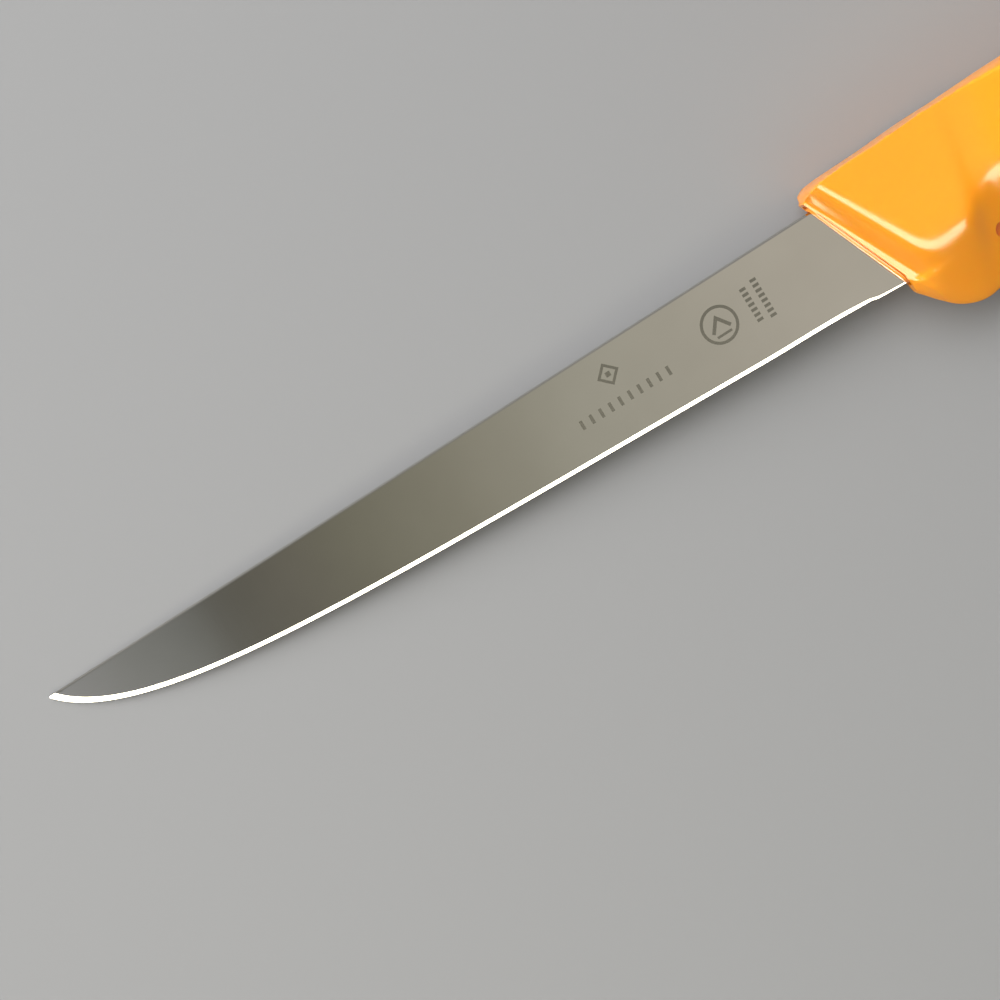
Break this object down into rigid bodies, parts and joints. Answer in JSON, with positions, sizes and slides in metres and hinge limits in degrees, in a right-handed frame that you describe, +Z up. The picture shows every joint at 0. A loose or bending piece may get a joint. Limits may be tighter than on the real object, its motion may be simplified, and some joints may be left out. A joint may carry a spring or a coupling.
{
  "type": "boning knife",
  "caption": "Straight butcher's boning knife lying on its side: long narrow steel blade with a sweeping point, moulded yellow plastic handle with finger guard.",
  "frame": {"origin": "middle of the knife's footprint, on the surface it lies on", "axes": "+X along the knife from the point to the butt of the handle, +Y from the cutting edge towards the spine, +Z up. The knife lies on its side, resting on the handle's belly and the blade's point, so its middle plane slopes about 2.8 degrees down towards the point"},
  "size_m": [0.307, 0.0376, 0.0254],
  "materials": {
    "blade_steel": "fine satin, darker greenish grey in reflection, bright sharpened bevel",
    "core_plastic": "moulded polyamide, glossy rim",
    "grip_plastic": "moulded polyamide, semi-gloss, yellow to orange"
  },
  "bodies": {
    "root": {"blade": "blade_steel", "handle_core": "core_plastic", "handle_grip": "grip_plastic"}
  },
  "joints": []
}
